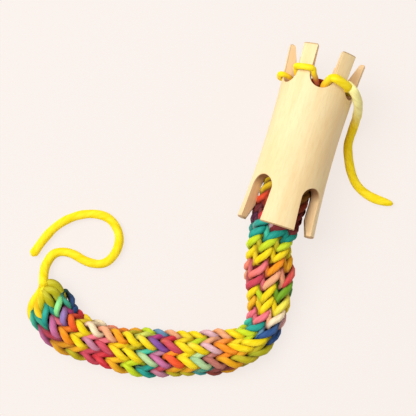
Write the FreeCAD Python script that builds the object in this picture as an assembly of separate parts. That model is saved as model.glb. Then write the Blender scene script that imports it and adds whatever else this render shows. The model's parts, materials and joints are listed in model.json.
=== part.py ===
"""Turned wooden cord maker with six prongs at one end and four at the other, and the knitted cord on it.

The maker lies on a table at z = 0 with its axis along Y, the six narrow prongs at +Y. Six live yarn loops sit
on those prongs, the knitting fills the bore, and the finished cord lies on the table with its two yarn tails.
All sizes are in millimetres.
"""

import FreeCAD, Part
import math
import os

V = FreeCAD.Vector

# Turned body
LENGTH = 86.6
END_RADIUS = 19.0
WAIST_RADIUS = 17.0
BORE_RADIUS = 12.7
AXIS_Z = END_RADIUS
FOUR_END_Y = -LENGTH / 2
SIX_END_Y = LENGTH / 2

# Inside bevels and softened rims at the two ends
FOUR_TIP_WALL = 3.0
FOUR_BEVEL_LENGTH = 7.3
SIX_TIP_WALL = 2.6
SIX_BEVEL_LENGTH = 9.5
RIM_ROUND = 0.5
TIP_ROUND = 1.1
TIP_OUTER_INSET = 0.42
TIP_OUTER_DROP = 0.34
TIP_INNER_INSET = 0.22
TIP_INNER_DROP = 0.30
TIP_CORNER = 1.0
TIP_CORNER_BULGE = 0.28
TIP_CORNER_START = 0.06
TIP_CORNER_OVERRUN = 0.1
EDGE_ROUND = 0.35

# How the slots' outside rims are told from the other edges
ALONG_TOLERANCE = 0.01
SURFACE_TOLERANCE = 0.08
SHORTEST_RIM = 1.0

# Slots between the wide prongs: parallel walls, full round inner end
FOUR_SLOT_WIDTH = 12.1
FOUR_SLOT_DEPTH = 21.6
FOUR_SLOT_ANGLES = (45.0, 135.0, 225.0, 315.0)

# Slots between the narrow prongs: walls that close in towards the bore
SIX_SLOT_WIDTH = 12.1
SIX_SLOT_BORE_WIDTH = 9.8
SIX_SLOT_DEPTH = 19.9
SIX_SLOT_ANGLES = (0.0, 60.0, 120.0, 180.0, 240.0, 300.0)
SIX_SLOT_CENTRE_Y = SIX_END_Y - SIX_SLOT_DEPTH + SIX_SLOT_WIDTH / 2
CUTTER_START = 4.0
CUTTER_OVERRUN = 2.0
SLOT_DRAFT = (SIX_SLOT_WIDTH - SIX_SLOT_BORE_WIDTH) / 2 / (END_RADIUS - BORE_RADIUS)

# Live loops: name, angle of the prong from straight up towards +X, height along Y, yarn diameter
LOOPS = (
    ("loop_top_left", -30.0, 30.8, 3.4),
    ("loop_top_right", 30.0, 28.6, 3.6),
    ("loop_right", 90.0, 28.4, 3.4),
    ("loop_low_right", 150.0, 30.2, 3.0),
    ("loop_low_left", 210.0, 29.8, 3.0),
    ("loop_left", 270.0, 27.6, 3.4),
)
LOOP_GAP = 0.22
LOOP_INNER_SLACK = 0.7
PRONG_CROWN = 0.35
TABLE_Z = 0.0
TABLE_SIDE = 200.0
TABLE_THICKNESS = 50.0

# Knitted cord: it fills the bore, lying low in it, and spreads out to the loops at the top
CORD_DIAMETER = 21.0
BORE_KNIT_RADIUS = 11.3
BORE_KNIT_X = -0.5
BORE_KNIT_Z = 18.3
KNIT_SPREAD_Y = 8.0
KNIT_TOP_Y = 25.4
KNIT_TOP_RADIUS = 11.9

# Route of the cord's free stretch, from the maker's mouth to the cast-on end
CORD_ROUTE = (
    V(-0.9, -43.3, 17.4),
    V(-0.9, -49.3, 17.4),
    V(0.9, -57.0, 15.2),
    V(4.0, -65.2, 12.3),
    V(7.0, -74.5, 10.5),
    V(9.4, -86.5, 10.5),
    V(7.6, -97.0, 10.5),
    V(-2.4, -106.0, 10.5),
    V(-16.0, -111.2, 10.5),
    V(-30.0, -115.9, 10.5),
    V(-44.0, -120.0, 10.5),
    V(-57.5, -122.2, 10.5),
    V(-70.5, -121.7, 10.5),
    V(-81.0, -121.0, 10.5),
    V(-89.0, -117.6, 10.5),
    V(-94.2, -110.2, 10.5),
)

# Gathered cast-on end: how far the stitches run on, the radius of the shoulder on the way, and of the tip
GATHER_LENGTH = 9.5
GATHER_SHOULDER_SHARE = 0.6
GATHER_SHOULDER_RADIUS = 8.6
GATHER_TIP_RADIUS = 3.4

# Yarn tails and their routes, each ending in a cut end on the table; the first starts inside the gathered end
TAIL_DIAMETER = 4.6
CAST_ON_ROUTE = (
    V(-99.2, -103.2, 11.3),
    V(-102.4, -97.6, 5.0),
    V(-103.2, -93.0, 2.3),
    V(-101.0, -86.0, 2.3),
    V(-93.0, -83.8, 2.3),
    V(-84.0, -86.4, 2.3),
    V(-75.0, -85.0, 2.3),
    V(-71.0, -77.0, 2.3),
    V(-72.0, -68.0, 2.3),
    V(-80.0, -61.2, 2.3),
    V(-91.0, -62.6, 2.3),
    V(-101.0, -69.2, 2.3),
    V(-107.8, -79.5, 2.3),
    V(-111.1, -91.4, 2.3),
)
WORKING_ROUTE = (
    V(14.7, 24.2, 33.3),
    V(17.4, 24.2, 29.9),
    V(19.3, 24.1, 26.0),
    V(20.8, 23.7, 21.6),
    V(22.1, 22.7, 16.4),
    V(22.9, 20.8, 10.6),
    V(23.0, 17.8, 5.6),
    V(22.8, 13.0, 2.7),
    V(22.9, 7.2, 2.3),
    V(25.0, 1.4, 2.3),
    V(28.0, -4.8, 2.3),
    V(32.6, -10.6, 2.3),
    V(39.6, -13.8, 2.3),
    V(46.5, -14.5, 2.3),
    V(52.5, -14.1, 2.3),
)

RUN_SHARE = 0.45


def outer_radius(y):
    """Radius of the waisted outside at y."""
    return WAIST_RADIUS + (END_RADIUS - WAIST_RADIUS) * (2 * y / LENGTH) ** 2


def radial(angle):
    """Unit vector from the axis outwards, at an angle from straight up towards +X."""
    turn = math.radians(angle)
    return V(math.sin(turn), 0, math.cos(turn))


def tangent(angle):
    """Unit vector round the body at the same angle."""
    turn = math.radians(angle)
    return V(math.cos(turn), 0, -math.sin(turn))


def turned_blank():
    """Revolve the wall's section: waisted outside, bored inside, bevelled and softened at both ends."""
    near = lambda radius, y: V(radius, y, 0)
    four_inner = END_RADIUS - FOUR_TIP_WALL
    six_inner = END_RADIUS - SIX_TIP_WALL
    four_rim = near(END_RADIUS, FOUR_END_Y)
    outside_four = near(outer_radius(FOUR_END_Y + RIM_ROUND), FOUR_END_Y + RIM_ROUND)
    outside_six = near(outer_radius(SIX_END_Y - TIP_ROUND), SIX_END_Y - TIP_ROUND)
    tip_mid = near(END_RADIUS - SIX_TIP_WALL / 2, SIX_END_Y)
    bevel_slope = (six_inner - BORE_RADIUS) / SIX_BEVEL_LENGTH
    inside_six = near(six_inner - bevel_slope * TIP_ROUND, SIX_END_Y - TIP_ROUND)
    edges = [
        Part.Arc(outside_four, near(WAIST_RADIUS, 0), outside_six),
        Part.Arc(outside_six, near(END_RADIUS - TIP_OUTER_INSET, SIX_END_Y - TIP_OUTER_DROP), tip_mid),
        Part.Arc(tip_mid, near(six_inner + TIP_INNER_INSET, SIX_END_Y - TIP_INNER_DROP), inside_six),
        Part.LineSegment(inside_six, near(BORE_RADIUS, SIX_END_Y - SIX_BEVEL_LENGTH)),
        Part.LineSegment(
            near(BORE_RADIUS, SIX_END_Y - SIX_BEVEL_LENGTH),
            near(BORE_RADIUS, FOUR_END_Y + FOUR_BEVEL_LENGTH),
        ),
        Part.LineSegment(near(BORE_RADIUS, FOUR_END_Y + FOUR_BEVEL_LENGTH), near(four_inner, FOUR_END_Y)),
        Part.LineSegment(near(four_inner, FOUR_END_Y), four_rim - V(RIM_ROUND, 0, 0)),
        Part.LineSegment(four_rim - V(RIM_ROUND, 0, 0), outside_four),
    ]
    section = Part.Face(Part.Wire([edge.toShape() for edge in edges]))
    blank = section.revolve(V(0, 0, 0), V(0, 1, 0), 360)
    return blank.translated(V(0, 0, AXIS_Z))


def slot_cutter(angle, centre_y, open_y, bore_half, slope):
    """A round-ended cutter along a radius, closing in by the slope on each side, open towards one end."""
    inner = slot_outline(angle, BORE_RADIUS - CUTTER_START, centre_y, open_y, bore_half - CUTTER_START * slope)
    reach = END_RADIUS + CUTTER_START - BORE_RADIUS
    outer = slot_outline(angle, END_RADIUS + CUTTER_START, centre_y, open_y, bore_half + reach * slope)
    return Part.makeLoft([inner, outer], True, True)


def slot_outline(angle, radius, centre_y, open_y, half):
    """The U of a slot, square to its radius at one distance from the axis."""
    middle = V(0, 0, AXIS_Z) + radial(angle) * radius
    across = tangent(angle)
    end_y = centre_y + math.copysign(half, centre_y - open_y)
    low_end = middle - across * half + V(0, centre_y, 0)
    high_end = middle + across * half + V(0, centre_y, 0)
    low_mouth = middle - across * half + V(0, open_y, 0)
    high_mouth = middle + across * half + V(0, open_y, 0)
    edges = [
        Part.LineSegment(low_mouth, low_end),
        Part.Arc(low_end, middle + V(0, end_y, 0), high_end),
        Part.LineSegment(high_end, high_mouth),
        Part.LineSegment(high_mouth, low_mouth),
    ]
    return Part.Wire([edge.toShape() for edge in edges])


def tip_corner_cutter(angle, bore_half):
    """A cutter at a narrow slot's mouth that takes the sharp corners off the two tips beside it."""
    inner = tip_corner_outline(angle, BORE_RADIUS - CUTTER_START, bore_half - CUTTER_START * SLOT_DRAFT)
    reach = END_RADIUS + CUTTER_START - BORE_RADIUS
    outer = tip_corner_outline(angle, END_RADIUS + CUTTER_START, bore_half + reach * SLOT_DRAFT)
    return Part.makeLoft([inner, outer], True, True)


def tip_corner_outline(angle, radius, half):
    """The slot's mouth at one distance from the axis, spread by an arc on each side."""
    middle = V(0, 0, AXIS_Z) + radial(angle) * radius
    across = tangent(angle)
    spot = lambda reach, y: middle + across * reach + V(0, y, 0)
    spots = (
        (half + TIP_CORNER, SIX_END_Y + CUTTER_OVERRUN),
        (half + TIP_CORNER, SIX_END_Y + TIP_CORNER_OVERRUN),
        (half + TIP_CORNER_BULGE, SIX_END_Y - TIP_CORNER_BULGE),
        (half - TIP_CORNER_START, SIX_END_Y - TIP_CORNER - TIP_CORNER_START),
    )
    low = [spot(-reach, y) for reach, y in spots]
    high = [spot(reach, y) for reach, y in spots]
    edges = [
        Part.LineSegment(low[0], low[1]),
        Part.Arc(low[1], low[2], low[3]),
        Part.LineSegment(low[3], high[3]),
        Part.Arc(high[3], high[2], high[1]),
        Part.LineSegment(high[1], high[0]),
        Part.LineSegment(high[0], low[0]),
    ]
    return Part.Wire([edge.toShape() for edge in edges])


def maker_body():
    """The one-piece wooden maker: the turned blank less four wide and six narrow slots."""
    body = turned_blank()
    four_half = FOUR_SLOT_WIDTH / 2
    four_centre = FOUR_END_Y + FOUR_SLOT_DEPTH - four_half
    cutters = [
        slot_cutter(angle, four_centre, FOUR_END_Y - CUTTER_OVERRUN, four_half, 0.0)
        for angle in FOUR_SLOT_ANGLES
    ]
    cutters += [
        slot_cutter(angle, SIX_SLOT_CENTRE_Y, SIX_END_Y + CUTTER_OVERRUN, SIX_SLOT_BORE_WIDTH / 2, SLOT_DRAFT)
        for angle in SIX_SLOT_ANGLES
    ]
    for cutter in cutters:
        body = body.cut(cutter)
    body = soften_slot_rims(body)
    for angle in SIX_SLOT_ANGLES:
        body = body.cut(tip_corner_cutter(angle, SIX_SLOT_BORE_WIDTH / 2))
    return body


def soften_slot_rims(body):
    """Round the outside rim of every slot, where the wall meets the waisted surface."""
    rims = [edge for edge in body.Edges if is_slot_rim(edge)]
    rounded = body.makeFillet(EDGE_ROUND, rims)
    print("slot rims rounded:", len(rims), "solid valid:", rounded.isValid())
    return rounded


def is_slot_rim(edge):
    """True for an edge that lies on the outside surface and runs along a slot."""
    low, high = edge.ParameterRange
    for share in (0.1, 0.5, 0.9):
        spot = edge.valueAt(low + (high - low) * share)
        if spot.y < FOUR_END_Y + RIM_ROUND - ALONG_TOLERANCE:
            return False
        if spot.y > SIX_END_Y - TIP_ROUND + ALONG_TOLERANCE:
            return False
        reach = math.hypot(spot.x, spot.z - AXIS_Z)
        if abs(reach - outer_radius(spot.y)) > SURFACE_TOLERANCE:
            return False
    return edge.BoundBox.YLength > SHORTEST_RIM and not isinstance(edge.Curve, Part.Circle)


def prong_half_width(radius, y):
    """Half the width of a narrow prong at a distance from the axis, just above or below the slots' round ends."""
    half_slot = SIX_SLOT_BORE_WIDTH / 2 + (radius - BORE_RADIUS) * SLOT_DRAFT
    below = max(0.0, SIX_SLOT_CENTRE_Y - y)
    half_slot = math.sqrt(max(half_slot**2 - below**2, 0.0))
    return (radius * math.sin(math.radians(30)) - half_slot) / math.cos(math.radians(30))


def live_loop(angle, y, diameter):
    """One stitch's loop as a closed ring of yarn round a narrow prong, pressed flat where it meets the table.

    The ring is wide enough to slide up over the prong's flared tip."""
    low_y = y - diameter / 2
    outside = outer_radius(y + diameter / 2)
    corner = outside - PRONG_CROWN
    inside = BORE_RADIUS - LOOP_INNER_SLACK
    inner_half = prong_half_width(BORE_RADIUS, low_y)
    outer_half = max(prong_half_width(corner, low_y), prong_half_width(END_RADIUS - PRONG_CROWN, SIX_END_Y))
    place = lambda radius, across: V(0, y, AXIS_Z) + radial(angle) * radius + tangent(angle) * across
    section = Part.Wire(
        [
            Part.LineSegment(place(inside, -inner_half), place(corner, -outer_half)).toShape(),
            Part.Arc(place(corner, -outer_half), place(outside, 0), place(corner, outer_half)).toShape(),
            Part.LineSegment(place(corner, outer_half), place(inside, inner_half)).toShape(),
            Part.LineSegment(place(inside, inner_half), place(inside, -inner_half)).toShape(),
        ]
    )
    path = section.makeOffset2D(LOOP_GAP + diameter / 2)
    path = Part.Wire(Part.__sortEdges__(path.Edges))
    first = path.OrderedEdges[0]
    start = first.valueAt(first.FirstParameter)
    ring = sweep_round(path, start, first.tangentAt(first.FirstParameter), diameter)
    if ring.BoundBox.ZMin < TABLE_Z:
        corner = V(-TABLE_SIDE / 2, -TABLE_SIDE / 2, TABLE_Z - TABLE_THICKNESS)
        table = Part.makeBox(TABLE_SIDE, TABLE_SIDE, TABLE_THICKNESS, corner)
        ring = ring.cut(table)
    return ring


def sweep_round(path, start, heading, diameter):
    """Sweep a round section along a path of lines and arcs."""
    section = Part.Wire([Part.Circle(start, heading, diameter / 2).toShape()])
    return path.makePipeShell([section], True, True)


def tube_along(name, route, diameter):
    """A round tube along straight runs joined by tangent arcs, each as large as its two runs allow."""
    edges = []
    radii = []
    here = route[0]
    for before, corner, after in zip(route, route[1:], route[2:]):
        back = before - corner
        ahead = after - corner
        reach = RUN_SHARE * min(back.Length, ahead.Length)
        turn = math.pi - back.getAngle(ahead)
        radius = reach / math.tan(turn / 2)
        back.normalize()
        ahead.normalize()
        middle = back + ahead
        middle.normalize()
        centre = corner + middle * (radius / math.cos(turn / 2))
        enter = corner + back * reach
        leave = corner + ahead * reach
        edges.append(Part.LineSegment(here, enter).toShape())
        edges.append(Part.Arc(enter, centre - middle * radius, leave).toShape())
        radii.append(radius)
        here = leave
    edges.append(Part.LineSegment(here, route[-1]).toShape())
    path = Part.Wire(edges)
    tube = sweep_round(path, route[0], route[1] - route[0], diameter)
    expected = math.pi * diameter**2 / 4 * path.Length
    print(
        name, "length", round(path.Length, 1), "radii", [round(radius, 1) for radius in radii],
        "volume share", round(tube.Volume / expected, 4),
    )
    return tube


def bore_knit():
    """The knitting inside the bore, from the mouth up to just below the loops."""
    low = V(BORE_KNIT_X, FOUR_END_Y, BORE_KNIT_Z)
    bend = V(BORE_KNIT_X, KNIT_SPREAD_Y, BORE_KNIT_Z)
    top = V(0, KNIT_TOP_Y, AXIS_Z)
    ring = lambda centre, radius: Part.Wire([Part.Circle(centre, V(0, 1, 0), radius).toShape()])
    straight = Part.makeCylinder(BORE_KNIT_RADIUS, KNIT_SPREAD_Y - FOUR_END_Y, low, V(0, 1, 0))
    spread = Part.makeLoft([ring(bend, BORE_KNIT_RADIUS), ring(top, KNIT_TOP_RADIUS)], True, True)
    return straight.fuse(spread)


def cast_on_end():
    """The gathered first stitches: a rounded cap from the cord's full width to its tail."""
    heading = CORD_ROUTE[-1] - CORD_ROUTE[-2]
    heading.normalize()
    side = V(0, 0, 1)
    place = lambda along, radius: CORD_ROUTE[-1] + heading * along + side * radius
    radius = CORD_DIAMETER / 2
    shoulder = place(GATHER_LENGTH * GATHER_SHOULDER_SHARE, GATHER_SHOULDER_RADIUS)
    edges = [
        Part.LineSegment(place(0, 0), place(0, radius)),
        Part.Arc(place(0, radius), shoulder, place(GATHER_LENGTH, GATHER_TIP_RADIUS)),
        Part.LineSegment(place(GATHER_LENGTH, GATHER_TIP_RADIUS), place(GATHER_LENGTH, 0)),
        Part.LineSegment(place(GATHER_LENGTH, 0), place(0, 0)),
    ]
    face = Part.Face(Part.Wire([edge.toShape() for edge in edges]))
    return face.revolve(CORD_ROUTE[-1], heading, 360)


def save(name, shape):
    """Write one sub-part as a STEP file."""
    solid = shape.Solids[0] if len(shape.Solids) == 1 else shape
    box = solid.BoundBox
    print(
        f"{name}: {len(shape.Solids)} solid, valid {solid.isValid()}, volume {solid.Volume:.0f},"
        f" x {box.XMin:.1f} {box.XMax:.1f}, y {box.YMin:.1f} {box.YMax:.1f}, z {box.ZMin:.2f} {box.ZMax:.2f}"
    )
    solid.exportStep(f"parts/{name}.step")


def main():
    """Build every sub-part and write it."""
    os.makedirs("parts", exist_ok=True)
    save("maker_body", maker_body())
    for name, angle, y, diameter in LOOPS:
        save(name, live_loop(angle, y, diameter))
    save("bore_knit", bore_knit())
    save("i_cord", tube_along("i_cord", CORD_ROUTE, CORD_DIAMETER))
    gather = cast_on_end()
    save("cast_on_end", gather)
    save("cast_on_tail", tube_along("cast_on_tail", CAST_ON_ROUTE, TAIL_DIAMETER).cut(gather))
    save("working_tail", tube_along("working_tail", WORKING_ROUTE, TAIL_DIAMETER))


main()
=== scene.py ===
"""Looks of a turned wooden cord maker and the hand-dyed knitted cord on it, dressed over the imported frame.

The maker lies on a table at z = 0 with its axis along Y and its six narrow prongs at +Y. The knitting is one
yarn worked in a spiral of six stitches, from the gathered cast-on end up through the bore to the live loops.
Sizes are in millimetres where a name says so, and are scaled to metres as each piece is made.
"""

from __future__ import annotations

import bisect
import json
import logging
import math
import random
from dataclasses import dataclass, field
from enum import Enum
from typing import Sequence

import bmesh
import bpy
from mathutils import Euler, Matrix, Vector

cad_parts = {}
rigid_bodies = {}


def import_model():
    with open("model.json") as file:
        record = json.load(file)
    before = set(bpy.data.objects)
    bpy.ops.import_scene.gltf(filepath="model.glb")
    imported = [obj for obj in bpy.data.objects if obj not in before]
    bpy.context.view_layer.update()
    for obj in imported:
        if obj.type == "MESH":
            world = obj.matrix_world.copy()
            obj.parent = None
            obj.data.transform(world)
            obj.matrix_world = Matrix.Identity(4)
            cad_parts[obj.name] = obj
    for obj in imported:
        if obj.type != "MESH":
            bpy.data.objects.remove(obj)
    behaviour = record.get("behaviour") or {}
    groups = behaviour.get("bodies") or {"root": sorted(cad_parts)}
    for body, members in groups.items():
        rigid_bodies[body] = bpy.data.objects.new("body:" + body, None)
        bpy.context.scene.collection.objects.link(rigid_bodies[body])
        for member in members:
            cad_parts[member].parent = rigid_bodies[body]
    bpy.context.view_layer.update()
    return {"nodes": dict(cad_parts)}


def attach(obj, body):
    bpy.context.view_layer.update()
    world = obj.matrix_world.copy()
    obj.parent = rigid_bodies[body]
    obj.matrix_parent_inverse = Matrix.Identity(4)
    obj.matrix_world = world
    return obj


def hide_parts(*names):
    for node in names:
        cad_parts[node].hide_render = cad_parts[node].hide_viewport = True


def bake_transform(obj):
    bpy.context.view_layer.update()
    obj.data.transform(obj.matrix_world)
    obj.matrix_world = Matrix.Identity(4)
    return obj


LOG = logging.getLogger("cord_maker")
MM = 0.001
TAU = 2 * math.pi

# The maker's own sizes, in millimetres, as the frame holds them
LENGTH = 86.6
HALF_LENGTH = LENGTH / 2
END_RADIUS = 19.0
WAIST_RADIUS = 17.0
BORE_RADIUS = 12.7
AXIS_Z = 19.0
FOUR_SLOT_DEPTH = 21.6
SIX_SLOT_DEPTH = 19.9
SLOT_HALF_WIDTH = 6.05

# Routes in millimetres: the cord's free stretch and its two yarn tails
CORD_ROUTE = (
    (-0.9, -43.3, 17.4),
    (-0.9, -49.3, 17.2),
    (0.9, -57.0, 14.8),
    (4.0, -65.2, 11.2),
    (7.0, -74.5, 8.4),
    (9.4, -86.5, 7.4),
    (7.6, -97.0, 7.2),
    (-2.4, -106.0, 7.2),
    (-16.0, -111.2, 7.2),
    (-30.0, -115.9, 7.2),
    (-44.0, -120.0, 7.2),
    (-57.5, -122.2, 7.2),
    (-70.5, -121.7, 7.2),
    (-81.0, -121.0, 7.2),
    (-89.0, -117.6, 7.2),
    (-94.2, -110.2, 7.2),
)
BORE_ROUTE = (
    (-0.9, -43.3, 17.4),
    (-0.4, -34.0, 18.6),
    (0.0, -24.0, 19.0),
    (0.0, 2.0, 19.0),
    (0.0, 27.0, 19.0),
)
CAST_ON_ROUTE = (
    (-99.2, -103.2, 11.3),
    (-102.4, -97.6, 5.0),
    (-103.2, -93.0, 2.3),
    (-101.0, -86.0, 2.3),
    (-93.0, -83.8, 2.3),
    (-84.0, -86.4, 2.3),
    (-75.0, -85.0, 2.3),
    (-71.0, -77.0, 2.3),
    (-72.0, -68.0, 2.3),
    (-80.0, -61.2, 2.3),
    (-91.0, -62.6, 2.3),
    (-101.0, -69.2, 2.3),
    (-107.8, -79.5, 2.3),
    (-111.1, -91.4, 2.3),
)
WORKING_ROUTE = (
    (12.8, 29.6, 31.0),
    (14.5, 28.2, 33.4),
    (16.8, 26.6, 33.0),
    (18.9, 24.8, 30.0),
    (20.6, 23.0, 25.5),
    (21.8, 21.0, 19.5),
    (22.4, 18.8, 12.5),
    (22.7, 15.4, 6.5),
    (22.7, 11.4, 3.2),
    (22.9, 7.2, 2.3),
    (25.0, 1.4, 2.3),
    (28.0, -4.8, 2.3),
    (32.6, -10.6, 2.3),
    (39.6, -13.8, 2.3),
    (46.5, -14.5, 2.3),
    (52.5, -14.1, 2.3),
)


def paint(red: int, green: int, blue: int) -> tuple[float, float, float, float]:
    """Turn a colour as it looks on a screen into the linear colour that a shader takes.

    Args:
        red: Red from 0 to 255.
        green: Green from 0 to 255.
        blue: Blue from 0 to 255.

    Returns:
        Linear red, green and blue with an alpha of 1.
    """
    linear = []
    for part in (red, green, blue):
        share = part / 255
        linear.append(share / 12.92 if share <= 0.04045 else ((share + 0.055) / 1.055) ** 2.4)
    return (*linear, 1.0)


class Dye(Enum):
    """The colours that the yarn was dyed in."""

    YELLOW = paint(255, 226, 0)
    PALE_YELLOW = paint(250, 238, 80)
    GOLD = paint(246, 178, 12)
    OLIVE = paint(200, 186, 15)
    LIME = paint(206, 230, 25)
    PALE_LIME = paint(232, 246, 110)
    GREEN = paint(116, 168, 24)
    SPRING = paint(150, 240, 150)
    MINT = paint(194, 226, 164)
    AQUA = paint(70, 205, 172)
    TEAL = paint(14, 160, 146)
    STEEL = paint(104, 152, 188)
    BLUE = paint(40, 84, 148)
    PURPLE = paint(128, 74, 160)
    VIOLET = paint(146, 116, 182)
    PLUM = paint(112, 44, 84)
    MOSS = paint(168, 176, 20)
    MAGENTA = paint(196, 58, 138)
    LILAC = paint(204, 112, 164)
    MAUVE = paint(232, 186, 196)
    PINK = paint(242, 118, 134)
    ROSE = paint(208, 70, 92)
    CRIMSON = paint(222, 50, 64)
    RED_ORANGE = paint(250, 84, 36)
    ORANGE = paint(255, 150, 10)
    PEACH = paint(246, 178, 132)
    SALMON = paint(248, 138, 110)
    CREAM = paint(250, 232, 196)
    STRAW = paint(255, 246, 168)
    RUST = paint(176, 78, 40)
    DUSKY = paint(196, 122, 108)
    HEATHER = paint(206, 140, 168)
    MAROON = paint(132, 42, 48)


# The yarn's stripes from the cast-on end: a dye, and how many stitches it lasts, read off the photo
STRIPES: tuple[tuple[Dye, float], ...] = (
    # from stitch -2.5: the cast-on row and the rows by it
    (Dye.BLUE, 1), (Dye.AQUA, 0.5), (Dye.SPRING, 0.5), (Dye.TEAL, 1), (Dye.AQUA, 1), (Dye.TEAL, 1), (Dye.BLUE, 2),
    (Dye.MAGENTA, 0.5), (Dye.VIOLET, 0.5), (Dye.PINK, 0.5), (Dye.LILAC, 0.5), (Dye.ROSE, 0.5), (Dye.LILAC, 0.5),
    # from stitch 7.5
    (Dye.ROSE, 1), (Dye.CRIMSON, 2), (Dye.RED_ORANGE, 1), (Dye.ORANGE, 1), (Dye.GOLD, 2), (Dye.YELLOW, 4),
    (Dye.GOLD, 0.5), (Dye.OLIVE, 1.5),
    # from stitch 20.5
    (Dye.PALE_YELLOW, 1), (Dye.CREAM, 2), (Dye.PINK, 0.5), (Dye.HEATHER, 0.5), (Dye.ROSE, 2), (Dye.PINK, 1),
    (Dye.SALMON, 1), (Dye.PEACH, 1), (Dye.PINK, 0.5), (Dye.ROSE, 0.5), (Dye.CRIMSON, 1.5),
    (Dye.RED_ORANGE, 1.5),
    # from stitch 33.5
    (Dye.ORANGE, 2), (Dye.YELLOW, 1), (Dye.GOLD, 4), (Dye.OLIVE, 0.5), (Dye.YELLOW, 0.5), (Dye.OLIVE, 0.5),
    (Dye.YELLOW, 0.5), (Dye.LIME, 2), (Dye.GREEN, 1),
    # from stitch 45.5
    (Dye.LIME, 1), (Dye.PALE_LIME, 0.5), (Dye.YELLOW, 0.5), (Dye.AQUA, 0.5), (Dye.MINT, 0.5), (Dye.TEAL, 2),
    (Dye.STEEL, 2), (Dye.MAGENTA, 0.5), (Dye.PURPLE, 0.5), (Dye.HEATHER, 0.5), (Dye.LILAC, 0.5), (Dye.ROSE, 0.5),
    (Dye.HEATHER, 0.5), (Dye.ROSE, 1), (Dye.SALMON, 1),
    # from stitch 57.5
    (Dye.PEACH, 1), (Dye.CRIMSON, 0.5), (Dye.ROSE, 0.5), (Dye.ORANGE, 0.5), (Dye.RED_ORANGE, 0.5), (Dye.GOLD, 0.5),
    (Dye.OLIVE, 1.5), (Dye.GOLD, 1), (Dye.YELLOW, 3), (Dye.GOLD, 0.5), (Dye.OLIVE, 1.5), (Dye.YELLOW, 1),
    # from stitch 69.5
    (Dye.YELLOW, 1), (Dye.LIME, 0.5), (Dye.YELLOW, 0.5), (Dye.MINT, 1), (Dye.TEAL, 1), (Dye.STEEL, 1), (Dye.LILAC, 1),
    (Dye.MAUVE, 1), (Dye.PEACH, 0.5), (Dye.MAUVE, 0.5), (Dye.DUSKY, 1), (Dye.MAROON, 1), (Dye.RUST, 1), (Dye.SALMON, 1),
    # from stitch 81.5
    (Dye.PEACH, 1), (Dye.ORANGE, 1.5), (Dye.GOLD, 0.5), (Dye.RUST, 0.5), (Dye.GOLD, 1.5), (Dye.YELLOW, 3),
    (Dye.GOLD, 0.5), (Dye.OLIVE, 2.5), (Dye.LIME, 1),
    # from stitch 93.5
    (Dye.LIME, 1.5), (Dye.YELLOW, 0.5), (Dye.OLIVE, 1), (Dye.GREEN, 2), (Dye.AQUA, 1),
    (Dye.TEAL, 1), (Dye.STEEL, 0.5), (Dye.BLUE, 2.5), (Dye.PURPLE, 1), (Dye.PINK, 1),
    # from stitch 105.5
    (Dye.PINK, 1), (Dye.PEACH, 0.5), (Dye.CREAM, 0.5), (Dye.MAUVE, 1), (Dye.PEACH, 1), (Dye.ORANGE, 1),
    (Dye.GOLD, 1), (Dye.YELLOW, 1.5), (Dye.PALE_YELLOW, 0.5), (Dye.YELLOW, 4), (Dye.LIME, 0.5), (Dye.YELLOW, 0.5),
    # from stitch 118.5
    (Dye.GREEN, 2), (Dye.TEAL, 1), (Dye.PEACH, 1), (Dye.ROSE, 1), (Dye.PINK, 0.5), (Dye.PEACH, 1), (Dye.CRIMSON, 1.5),
    (Dye.ROSE, 1), (Dye.SALMON, 1), (Dye.PINK, 1),
    # from stitch 129.5
    (Dye.ORANGE, 1), (Dye.GOLD, 2), (Dye.YELLOW, 5), (Dye.LIME, 2),
    (Dye.OLIVE, 0.5), (Dye.LIME, 0.5), (Dye.OLIVE, 0.5), (Dye.LIME, 0.5), (Dye.OLIVE, 0.5), (Dye.LIME, 0.5),
    (Dye.OLIVE, 1), (Dye.GREEN, 1), (Dye.TEAL, 1),
    # from stitch 145.5: at the mouth, where the maroon is crimson yarn darkened with painted shade
    (Dye.TEAL, 1), (Dye.AQUA, 0.5), (Dye.TEAL, 2), (Dye.BLUE, 1.5), (Dye.PLUM, 1.5), (Dye.TEAL, 0.5), (Dye.MAUVE, 0.5),
    (Dye.MAROON, 5),
    # from stitch 158: seen through the wide slots
    (Dye.CRIMSON, 3), (Dye.RED_ORANGE, 3), (Dye.ORANGE, 2), (Dye.GOLD, 3), (Dye.YELLOW, 10),
    # from stitch 179: the hidden middle of the bore, then the rows under the live loops
    (Dye.TEAL, 4), (Dye.PURPLE, 4), (Dye.PINK, 6), (Dye.YELLOW, 6), (Dye.LIME, 5), (Dye.TEAL, 5),
    (Dye.MAGENTA, 4), (Dye.CRIMSON, 8), (Dye.RED_ORANGE, 60),
)


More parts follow.
